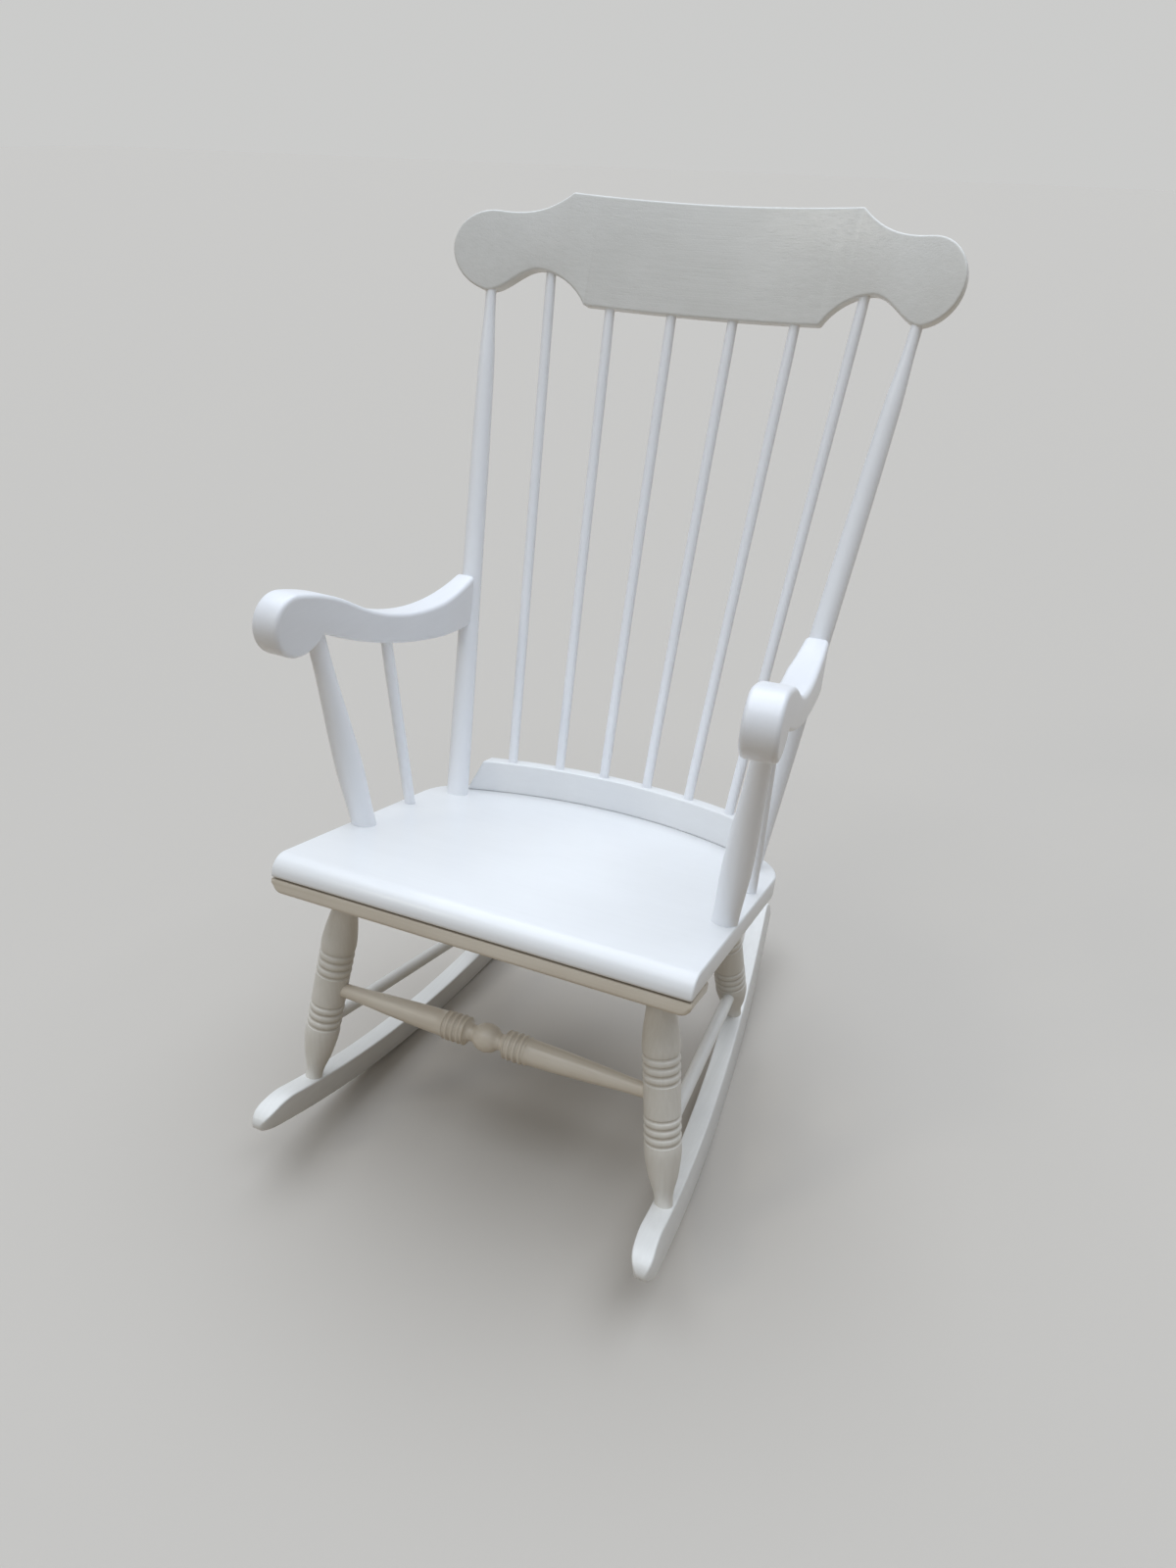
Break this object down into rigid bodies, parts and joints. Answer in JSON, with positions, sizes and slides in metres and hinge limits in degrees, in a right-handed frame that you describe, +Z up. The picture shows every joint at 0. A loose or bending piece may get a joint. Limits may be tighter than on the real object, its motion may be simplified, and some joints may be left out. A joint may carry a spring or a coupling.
{
  "type": "windsor rocking chair",
  "caption": "White painted wooden rocking chair with spindle back, shaped crest rail, scrolled arms, turned legs and curved rockers.",
  "frame": {"origin": "point on the floor midway between the two rockers, where the rocker arcs touch it at rest", "axes": "+Z up, -Y the way the chair faces, +X to the right of someone who looks at its front"},
  "size_m": [0.6672, 0.8071, 1.0874],
  "materials": {
    "white_paint": "semi-gloss white paint over turned and sawn hardwood",
    "screw_steel": "plain zinc"
  },
  "bodies": {
    "root": {"arm_left": "white_paint", "arm_right": "white_paint", "arm_screw_plugs": "white_paint", "arm_screws": "screw_steel", "arm_spindle_left": "white_paint", "arm_spindle_right": "white_paint", "arm_support_left": "white_paint", "arm_support_right": "white_paint", "back_post_left": "white_paint", "back_post_right": "white_paint", "back_rail": "white_paint", "back_rail_screws": "screw_steel", "back_spindle_1": "white_paint", "back_spindle_2": "white_paint", "back_spindle_3": "white_paint", "back_spindle_4": "white_paint", "back_spindle_5": "white_paint", "back_spindle_6": "white_paint", "crest_rail": "white_paint", "front_stretcher": "white_paint", "front_strip": "white_paint", "front_strip_screws": "screw_steel", "leg_front_left": "white_paint", "leg_front_right": "white_paint", "leg_rear_left": "white_paint", "leg_rear_right": "white_paint", "rear_stretcher": "white_paint", "rocker_left": "white_paint", "rocker_pins": "white_paint", "rocker_right": "white_paint", "seat_board": "white_paint", "side_stretcher_left": "white_paint", "side_stretcher_right": "white_paint"}
  },
  "joints": []
}
